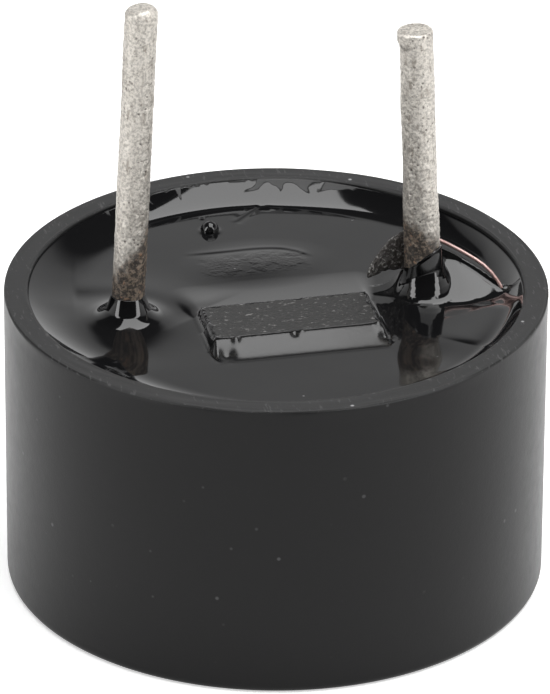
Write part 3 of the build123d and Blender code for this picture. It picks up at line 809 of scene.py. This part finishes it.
def poolHeight(x, y):
    # The height of the pool at each X and Y: its level, and on it each rise and hollow in turn
    radius = np.hypot(x, y)
    angle = np.arctan2(y, x)
    z = np.full(x.shape, pool["level"])
    # Slow waves: sums of long cosines, a few microns high
    for number, (along, across, tall) in enumerate(pool["waves"]):
        z += tall * np.cos(along * x + across * y + 1.7 * number)
    # Meniscus: climbs to the wall as a power of the way there, a little uneven round it
    bearing = np.degrees(angle)
    allRound = np.linspace(-180, 180, 721)
    widths = blurred(np.interp(allRound, pool["meniscusAngles"], pool["meniscusWidths"]), 8, "wrap")
    width = np.interp(bearing, allRound, widths)
    start, startEase = pool["backStart"]
    end, endEase = pool["backEnd"]
    atBack = eased((bearing - start) / startEase) * eased((end - bearing) / endEase)
    climb = pool["meniscusClimb"] + 0.008 * np.cos(5 * angle + 0.8) + 0.005 * np.cos(13 * angle + 2.0)
    climb = climb + pool["backClimb"] * atBack
    z += climb * (np.clip(radius - pool["radius"] + width, 0, None) / width) ** (2 - 0.45 * atBack)
    # Collars: the pool climbs each pin on a steep hollow slope
    collars = collarHeight("long", x, y) + collarHeight("short", x, y)
    z += higher(collars, ridgeHeight(x, y), 0.04)
    # The slopes round the transistor, up to its lapped edge: short in front and at its ends, and behind it
    # a long low one with a steep lip
    halfX, halfY = pool["chipSize"][0] / 2, pool["chipSize"][1] / 2
    fromX, fromY = x - pool["chipPlace"][0], y - pool["chipPlace"][1]
    sideReach = pool["sideDam"] + pool["sideSpread"] * np.maximum(fromY - halfY, 0)
    offX = np.maximum(np.abs(fromX) - halfX, 0) / sideReach
    offY = np.maximum(np.abs(fromY) - halfY, 0) / np.where(fromY > 0, pool["rearDam"], pool["frontDam"])
    outside = np.hypot(offX, offY)
    climb = pool["chipTop"] + pool["lap"] - pool["level"]
    near = np.clip(1 - outside * pool["rearDam"] / pool["rearLip"], 0, 1) ** 1.3
    behind = pool["rearFlat"] * np.clip(1 - outside, 0, 1) ** 1.2
    inFront = climb * np.clip(1 - outside, 0, 1) ** 1.05
    dam = np.where(fromY > 0, behind + (climb - pool["rearFlat"]) * near, inFront)
    # Its top is bare inside a ragged outline, and the pool laps thinly over the rest
    left, right, front, rear = pool["bare"]
    ragged = 0.020 * np.cos(9.1 * x + 0.5) + 0.014 * np.cos(23 * x + 2.1) + 0.010 * np.cos(47 * x)
    sway = 0.025 * np.cos(11 * y + 0.4) + 0.015 * np.cos(31 * y)
    inX = eased((x - left + sway) / 0.08) * eased((right - x - sway) / 0.08)
    inY = eased((y - front - ragged * 0.3) / 0.05) * eased((rear - y + ragged) / 0.08)
    dam -= (pool["lap"] + 0.02) * inX * inY
    z = pool["level"] + higher(z - pool["level"], dam, 0.02)
    # Mound over the capacitor: a low dome
    halfX, halfY = pool["moundSize"][0] / 2, pool["moundSize"][1] / 2
    share = np.hypot((x - pool["moundPlace"][0]) / halfX, (y - pool["moundPlace"][1]) / halfY)
    z += pool["moundRise"] * eased(1 - share)
    # The pool climbs a little round its bubble
    away = np.hypot(x - pool["bubblePlace"][0], y - pool["bubblePlace"][1])
    z += pool["bubbleFoot"] * np.exp(-((away / pool["bubbleRadius"]) ** 4))
    for lumpX, lumpY, wide, tall in lumps:
        z += tall * np.exp(-((x - lumpX) ** 2 + (y - lumpY) ** 2) / wide**2)
    # Ledges: a smooth step across each path, faded out along its ends
    for path, wide, drop in ledges:
        path = smoothed(path)
        away, side, way = alongPath(path, x, y)
        ends = (len(path) - 1) * 0.25
        fade = eased(way / ends) * eased((len(path) - 1 - way) / ends)
        z += drop * np.tanh(np.sign(side) * away / wide) * np.exp(-((away / (3 * wide)) ** 2)) * fade
    return z


def makeCollar(pin):
    # A fine ring of the pool round one pin: out along the pool's surface, down into it as a square, and
    # back below
    inside, fine, outside = pool["ringInside"], pool["ringFine"], pool["ringOutside"]
    away = np.concatenate([np.linspace(inside, fine, 130, endpoint=False), np.linspace(fine, outside, 24)])
    angle = -circle(240)
    x = collarMiddle(pin) + away[:, None] * np.cos(angle)
    y = away[:, None] * np.sin(angle)
    sunk = 1.5 * np.clip(away - pool["ringDip"], 0, None)[:, None] ** 2
    top = np.stack([x, y, poolHeight(x, y) + pool["ringLift"] - sunk], 2)
    below = top[[-1, 0]] * (1, 1, 0) + (0, 0, pool["level"] - pool["ringDepth"])
    return closedRing(np.concatenate([top, below]))


def makeBubble():
    # A ball that stands up out of the pool: circles from its foot to its top, a hair out of round
    lift = np.radians(np.linspace(-86, 86, 40))[:, None]
    angle = circle(64)
    ball = pool["bubbleRadius"] * (1 + 0.012 * np.cos(2 * angle + 3 * lift))
    height = pool["level"] + pool["bubbleRise"] - pool["bubbleRadius"] + ball * np.sin(lift)
    return turnedTube(circles(pool["bubblePlace"], ball * np.cos(lift), angle, height))


def makePool():
    # A square grid bent into a round: each square ring of the grid becomes a circle, and the circles lie
    # closer together towards the wall
    count = pool["cells"] + 1
    a, b = np.meshgrid(np.linspace(-1, 1, count), np.linspace(-1, 1, count), indexing="ij")
    reach = np.maximum(np.abs(a), np.abs(b))
    safe = np.maximum(reach, 1e-9)
    angle = np.arctan2(np.where(np.abs(a) > np.abs(b), np.tan(np.pi / 4 * b / safe), b / safe),
                       np.where(np.abs(a) > np.abs(b), a / safe, np.tan(np.pi / 4 * a / safe)))
    pull = pool["rimPull"] * np.pi / 2
    radius = pool["radius"] * np.sin(reach * pull) / np.sin(pull)
    x, y = radius * np.cos(angle), radius * np.sin(angle)
    z = poolHeight(x, y)
    for pin in pool["collars"]:
        away = np.hypot(x - collarMiddle(pin), y)
        within = pool["collarSeam"] - away
        dipped = np.minimum(z, pool["level"]) - pool["seamDip"] * eased(within / pool["seamEase"])
        z = np.where(within > 0, dipped, z)
    top = np.stack([x, y, z], 2).reshape(-1, 3)
    number = np.arange(count * count).reshape(count, count)
    border = np.concatenate([number[:-1, 0], number[-1, :-1], number[:0:-1, -1], number[0, :0:-1]])
    skirt = top[border] * (1, 1, 0) + (0, 0, pool["floor"])
    start = count * count
    foot = start + np.arange(border.size)
    points = np.concatenate([top, skirt, [(0, 0, pool["floor"])]])
    side = np.stack([foot, np.roll(foot, -1), np.roll(border, -1), border], 1)
    sheet = gridFaces(count, count, False)[:, ::-1]
    faces = [sheet, side, fanFaces(foot, start + border.size, True)]
    ballPoints, ballFaces = makeBubble()
    faces += [part + len(points) for part in ballFaces]
    points = np.concatenate([points, ballPoints])
    gloss = poolFinish()
    makePiece("pottedPool", points, faces, ["potting"], gloss)
    longRing, ringFaces = makeCollar("long")
    shortRing = makeCollar("short")[0]
    rings = np.concatenate([longRing, shortRing])
    makePiece("pinCollars", rings, [ringFaces, ringFaces + len(longRing)], [], gloss)


def poolFinish():
    # Cast compound: glossy and nearly black, with rough places where it dried thin over the chips
    gloss = Finish("pottingGloss")
    x, y = gloss.axis("X"), gloss.axis("Y")
    patch = gloss.band(x, pool["patchX"]) * gloss.band(y, pool["patchY"])
    patch = patch * gloss.spots(0.36, 0.56, 0.35, 3, 0.6)
    lapX = gloss.band(x, pool["lapX"])
    lapY = gloss.band(y, pool["lapY"])
    strip = gloss.band(y, pool["stripY"]) * lapX
    rugged = (patch * 0.75 + lapX * lapY * 0.5 + strip * 0.30).kept()
    fine = gloss.noise(0.06, 3, 0.65)
    coarse = gloss.noise(0.16, 2, 0.5)
    relief = (fine * 0.55 + coarse * 0.35) * rugged + gloss.noise(0.9, 1) * 0.2
    dust = gloss.pits(0.5, 0.02, 0.05) * gloss.spots(0.55, 0.65, 1.1, 1)
    # At the back the case shows above the pool's broken edge, with a dark line of painted shade between them
    height = gloss.axis("Z")
    notch = 1 - gloss.ramp((gloss.noise(0.80, 1) - 0.5).reckon("ABSOLUTE"), 0.0, 0.055)
    jagged = gloss.spots(0.35, 0.65, 0.16, 1) * pool["jagDepth"] - notch * pool["notchDepth"]
    over = height - (jagged + pool["edgeLevel"]) * mm
    backFrom, backFull = pool["edgeFrom"]
    back = gloss.ramp(y, backFrom * mm, backFull * mm)
    wall = gloss.ramp(over, -0.002 * mm, 0.002 * mm) * back
    line = (1 - gloss.ramp(over.reckon("ABSOLUTE"), 0.006 * mm, 0.016 * mm)) * back
    gloss.tone = gloss.mix(dust * 0.5, pool["tone"], pool["dustTone"])
    # The case shows here in the rim's colour, its painted light included
    gloss.lay(wall, cup["litRimTone"])
    gloss.lay(line, pool["edgeShadeTone"])
    gloss.lay(rugged * 0.4, pool["roughTone"])
    rough = 0.045 + gloss.noise(1.7, 2) * 0.03 + rugged * 0.16 + strip * 0.16 + dust * 0.3
    rough = (rough + (wall + line) * 0.45).kept()
    return gloss.finish(relief, 0.012, 0.9, roughness=rough, ior=1.5)


makePool()
print("compound made")

# Transistor: a moulded body with drafted sides, standing just proud of the pool
chip = {
    "place": (0.07, -0.785),
    "size": (2.9, 1.3),
    "low": 4.04,
    "parting": 4.481,
    "top": 5.02,
    "draft": 0.07,
    "edge": 0.035,
    "columns": 480,
    "tone": (0.026, 0.0255, 0.025),
    "toneDark": 0.010,
    "blotch": (0.04, 0.039, 0.038),
    "fleck": (0.24, 0.235, 0.23),
    "pit": 0.02,
}


def makeChip():
    # A rectangle carried up the body, narrowest at its top and bottom, where its edges are rounded. On the
    # two flat faces it shrinks to the middle.
    halfX, halfY = chip["size"][0] / 2, chip["size"][1] / 2
    edge, draft = chip["edge"], chip["draft"]
    around = np.linspace(0, np.pi / 2, 6)
    side = np.linspace(0, 1, 9)
    height = np.concatenate([
        np.full(10, chip["low"]),
        chip["low"] + edge * (1 - np.cos(around)),
        chip["low"] + edge + (chip["parting"] - chip["low"] - edge) * side[1:],
        chip["parting"] + (chip["top"] - edge - chip["parting"]) * side[1:],
        chip["top"] - edge + edge * np.sin(around[1:]),
        np.full(24, chip["top"]),
    ])
    inset = np.concatenate([
        draft + edge + (halfY - draft - edge) * np.linspace(0.97, 0.03, 10),
        draft + edge * (1 - np.sin(around)),
        draft * (1 - side[1:]),
        draft * side[1:],
        draft + edge * (1 - np.cos(around[1:])),
        draft + edge + (halfY - draft - edge) * np.linspace(0.03, 0.97, 24),
    ])
    columns = chip["columns"]
    # Evenly spaced places round the outline of a rectangle
    way = np.linspace(0, 4 * (halfX + halfY), columns, endpoint=False)
    cornerX = np.array([halfX, halfX, -halfX, -halfX, halfX, halfX])
    cornerY = np.array([0, halfY, halfY, -halfY, -halfY, 0])
    cuts = np.cumsum([0, halfY, 2 * halfX, 2 * halfY, 2 * halfX, halfY])
    outX, outY = np.interp(way, cuts, cornerX), np.interp(way, cuts, cornerY)
    narrow = inset[:, None]
    x = np.sign(outX) * np.maximum(np.minimum(np.abs(outX), halfX - narrow), 0)
    y = np.sign(outY) * np.maximum(np.minimum(np.abs(outY), halfY - narrow), 0)
    grid = np.stack([chip["place"][0] + x, chip["place"][1] + y, height[:, None] + 0 * x], 2)
    points, faces = turnedTube(grid)
    makePiece("transistorBody", points, faces, ["transistor_body"], chipFinish())


def chipFinish():
    # Rough dark moulding, flecked with its filler
    moulding = Finish("chipMoulding")
    speckle = moulding.noise(0.045, 4, 0.7)
    blotch = moulding.noise(0.25, 3, 0.6)
    flecks = moulding.noise(0.06, 3, 0.65, 0.0, moulding.stretched((0.6, 1.0, 1.0)))
    flecks = moulding.ramp(flecks, 0.58, 0.72)
    pits = moulding.pits(0.12, 0.12, 0.30)
    moulding.tone = moulding.mix(moulding.ramp(speckle, 0.35, 0.65), chip["toneDark"], chip["tone"])
    moulding.lay(blotch * 0.3, chip["blotch"])
    moulding.lay(flecks * 0.8, chip["fleck"])
    moulding.lay(pits * 0.5, chip["pit"])
    relief = speckle * 0.7 + flecks * 0.6 - pits * 0.6
    rough = (0.42 + speckle * 0.2).kept()
    return moulding.finish(relief, 0.018, 0.9, roughness=rough, ior=1.42)


makeChip()
print("transistor made")

# Solder at the short pin: a rough leaf that runs down from the pin, and the tinned sleeve on the pin
leaf = {
    "root": (2.36, 5.84),
    "tip": (1.595, 5.08),
    "upperSag": 0.125,
    "lowerSag": 0.67,
    "rootDepth": 0.795,
    "tipHalf": 0.075,
    "offset": 0.20,
    "thick": 0.10,
    "rows": 90,
    "columns": 72,
    "sleeveRows": 170,
    "sleeveLow": 4.015,
    "sleeveTop": 5.10,
    "sleeveRadius": 0.290,
    "sleeveGrit": 0.0045,
    "sleeveThin": 0.03,
    "grit": 0.007,
    "tone": (0.075, 0.070, 0.066),
    "toneDark": (0.012, 0.011, 0.010),
    "fluxBrown": (0.10, 0.065, 0.045),
    "fleck": (0.55, 0.53, 0.51),
}


def bow(first, middle, last, share):
    # The parabola through three values at 0, a half and 1
    ends = first * (1 - share) * (1 - 2 * share) + last * share * (2 * share - 1)
    return ends + middle * 4 * share * (1 - share)


def makeLeaf():
    # The leaf: an oval carried from its root to its tip, between an upper and a lower parabola
    rows, columns = leaf["rows"], leaf["columns"]
    share = np.linspace(0, 1, rows)[:, None]
    angle = circle(columns)
    rootX, rootZ = leaf["root"]
    tipX, tipZ = leaf["tip"]
    upper = bow(rootZ, rootZ - leaf["upperSag"], tipZ + leaf["tipHalf"], share)
    lower = bow(rootZ - leaf["rootDepth"], rootZ - leaf["lowerSag"], tipZ - leaf["tipHalf"], share)
    middle, tall = (upper + lower) / 2, (upper - lower) / 2
    ends = np.sqrt(np.clip(1 - ((share - 0.5) / 0.5) ** 10, 0, 1))
    grit = grain(rows, columns, 2.0, 2.0, 31) * leaf["grit"]
    lumps = grain(rows, columns, 7, 10, 32) * leaf["grit"] * 0.9
    x = rootX + (tipX - rootX) * share + 0 * angle
    y = leaf["offset"] - (leaf["thick"] / 2 * (0.7 + 0.3 * ends) + grit + lumps) * ends * np.sin(angle)
    z = middle + (tall + grit + lumps) * ends * np.cos(angle)
    leafPoints, leafFaces = turnedTube(np.stack([x, y, z], 2))
    # The sleeve: a circle carried up the pin's foot, thinning away to the pin at its ragged top
    up = np.linspace(0, 1, leaf["sleeveRows"])[:, None]
    ragged = 0.05 * np.cos(3 * angle + 1) + 0.03 * np.cos(7 * angle)
    height = leaf["sleeveLow"] + (leaf["sleeveTop"] + ragged - leaf["sleeveLow"]) * up
    radius = leaf["sleeveRadius"] + grain(leaf["sleeveRows"], columns, 2.2, 2.5, 33) * leaf["sleeveGrit"]
    radius = radius - leaf["sleeveThin"] * (eased((up - 0.93) / 0.07) + eased((0.02 - up) / 0.02))
    sleeve = circles((pinMiddle(pins["short"], height), 0), radius, angle, height)
    sleevePoints, sleeveFaces = turnedTube(sleeve)
    points = np.concatenate([leafPoints, sleevePoints])
    faces = leafFaces + [face + len(leafPoints) for face in sleeveFaces]
    makePiece("shortPinSolder", points, faces, ["short_pin_solder"], leafFinish())


def leafFinish():
    # Rough solder, darkened and browned by flux, with bright flecks
    crust = Finish("solderCrust")
    speckle = crust.noise(0.04, 4, 0.7)
    flecks = crust.spots(0.52, 0.64, 0.055, 3, 0.7)
    warm = crust.noise(0.15, 2)
    crust.tone = crust.mix(speckle, leaf["toneDark"], leaf["tone"])
    crust.lay(warm * 0.2, leaf["fluxBrown"])
    crust.lay(flecks * 0.75, leaf["fleck"])
    relief = speckle + flecks * 0.5
    rough = (0.34 + speckle * 0.25).kept()
    metal = (flecks * 0.5).kept()
    return crust.finish(relief, 0.02, 0.9, metallic=metal, roughness=rough)


makeLeaf()
print("solder made")


# Finishes of the pieces that keep their CAD shape
def drawnMetal(name, dark, light, rough, size, stretch):
    # Worked metal: fine lines along one way, cloudy tarnish and a little pitting
    metal = Finish(name)
    lines = metal.noise(size, 3, 0.6, 0.2, metal.stretched(stretch))
    tarnish = metal.noise(size * 9, 3)
    pits = metal.pits(size * 4, 0.05, 0.22)
    metal.tone = metal.mix(lines, dark, light)
    metal.lay(tarnish * 0.4, dark)
    metal.lay(pits * 0.4, tuple(0.3 * part for part in dark))
    shine = (rough + lines * 0.14 + tarnish * 0.12).kept()
    return metal.finish(lines - pits * 0.5, 0.004, 0.6, metallic=1.0, roughness=shine)


def castBody(name, dark, light, rough, size, depth):
    # Moulded or fired stuff: mottled, granular, with small pits
    body = Finish(name)
    mottle = body.noise(size * 8, 4, 0.6)
    grit = body.noise(size, 3, 0.65)
    pits = body.pits(size * 5, 0.06, 0.24)
    body.tone = body.mix(mottle, dark, light)
    body.lay(grit * 0.3, light)
    body.lay(pits * 0.4, tuple(0.4 * part for part in dark))
    shine = (rough + grit * 0.16).kept()
    return body.finish(grit - pits * 0.6, depth, 0.7, roughness=shine, ior=1.5)


def wireEnamel():
    # Copper wire under clear enamel: pale pink where it catches the light, with darker scuffs
    enamel = Finish("wireEnamel")
    scuffs = enamel.spots(0.50, 0.68, 0.12, 3, 0.6)
    blush = enamel.noise(0.35, 2)
    enamel.tone = enamel.mix(blush, (0.50, 0.28, 0.25), (0.66, 0.49, 0.46))
    enamel.lay(scuffs * 0.45, (0.34, 0.16, 0.13))
    rough = (0.22 + scuffs * 0.2).kept()
    return enamel.finish(enamel.noise(0.03, 2), 0.003, 0.5, metallic=0.35, roughness=rough, coat=0.6)


def woundCopper():
    # Turns of fine enamelled wire: even bands up the winding, each darkened across its own turn by painted
    # shade
    coil = Finish("woundCopper")
    bands = coil.waves("Z", 0.36)
    turns = coil.noise(0.5, 2)
    coil.tone = coil.mix(bands, (0.22, 0.07, 0.035), (0.66, 0.30, 0.16))
    coil.lay(turns * 0.4, (0.45, 0.16, 0.08))
    rough = (0.25 + turns * 0.1).kept()
    return coil.finish(bands, 0.012, 0.8, metallic=0.6, roughness=rough, coat=0.4)


def wovenLaminate():
    # Board: tan resin over a fine square weave
    board = Finish("boardLaminate")
    weft = board.waves("X", 0.5)
    warp = board.waves("Y", 0.5)
    cloud = board.noise(1.2, 3)
    weave = weft * 0.5 + warp * 0.5
    board.tone = board.mix(weave, (0.33, 0.25, 0.12), (0.50, 0.40, 0.22))
    board.lay(cloud * 0.4, (0.40, 0.30, 0.16))
    rough = (0.38 + cloud * 0.15).kept()
    return board.finish(weave, 0.004, 0.6, roughness=rough, ior=1.5)


wire, coil = wireEnamel(), woundCopper()
steel = drawnMetal("springSteel", (0.36, 0.36, 0.36), (0.66, 0.66, 0.65), 0.22, 0.05, (0.2, 1.0, 1.0))
iron = drawnMetal("platedIron", (0.30, 0.30, 0.31), (0.56, 0.56, 0.56), 0.34, 0.06, (1.0, 1.0, 0.4))
tinned = drawnMetal("tinnedLead", (0.42, 0.41, 0.39), (0.70, 0.69, 0.66), 0.30, 0.05, (1.0, 0.4, 1.0))
joint = drawnMetal("solderJoint", (0.34, 0.33, 0.32), (0.66, 0.65, 0.63), 0.24, 0.10, (1.0, 1.0, 1.0))
foil = drawnMetal("copperFoil", (0.52, 0.26, 0.15), (0.80, 0.48, 0.32), 0.28, 0.05, (1.0, 0.6, 1.0))
ferrite = castBody("ferrite", (0.030, 0.030, 0.033), (0.075, 0.075, 0.080), 0.50, 0.05, 0.008)
holder = castBody("holderPlastic", (0.018, 0.018, 0.018), (0.045, 0.045, 0.045), 0.45, 0.05, 0.006)
tanCeramic = castBody("capacitorCeramic", (0.30, 0.20, 0.12), (0.46, 0.33, 0.21), 0.40, 0.04, 0.006)
blackGlaze = castBody("resistorGlaze", (0.010, 0.010, 0.011), (0.035, 0.035, 0.036), 0.20, 0.05, 0.003)
keeps = [
    (steel, ["diaphragm"]),
    (iron, ["armature_disc", "pole_core", "yoke_plate"]),
    (holder, ["support_ring"]),
    (ferrite, ["magnet_ring"]),
    (coil, ["drive_winding", "feedback_winding"]),
    (wovenLaminate(), ["circuit_board"]),
    (foil, ["board_copper"]),
    (tinned, ["transistor_emitter_lead", "transistor_base_lead", "transistor_collector_lead"]),
    (tinned, ["capacitor_end_caps", "resistor_end_caps"]),
    (joint, ["long_pin_solder", "transistor_solder", "lead_wire_solder"]),
    (joint, ["capacitor_solder", "resistor_solder"]),
    (tanCeramic, ["capacitor_body"]),
    (blackGlaze, ["resistor_body"]),
    (wire, ["common_lead_wire", "drive_lead_wire", "feedback_lead_wire"]),
]
for finish, names in keeps:
    for name in names:
        mesh = nodes[name].data
        mesh.materials.clear()
        mesh.materials.append(finish)
print("finishes given to", sum(len(names) for _, names in keeps), "CAD pieces")

# Plain view settings
bpy.context.scene.view_settings.view_transform = "Standard"
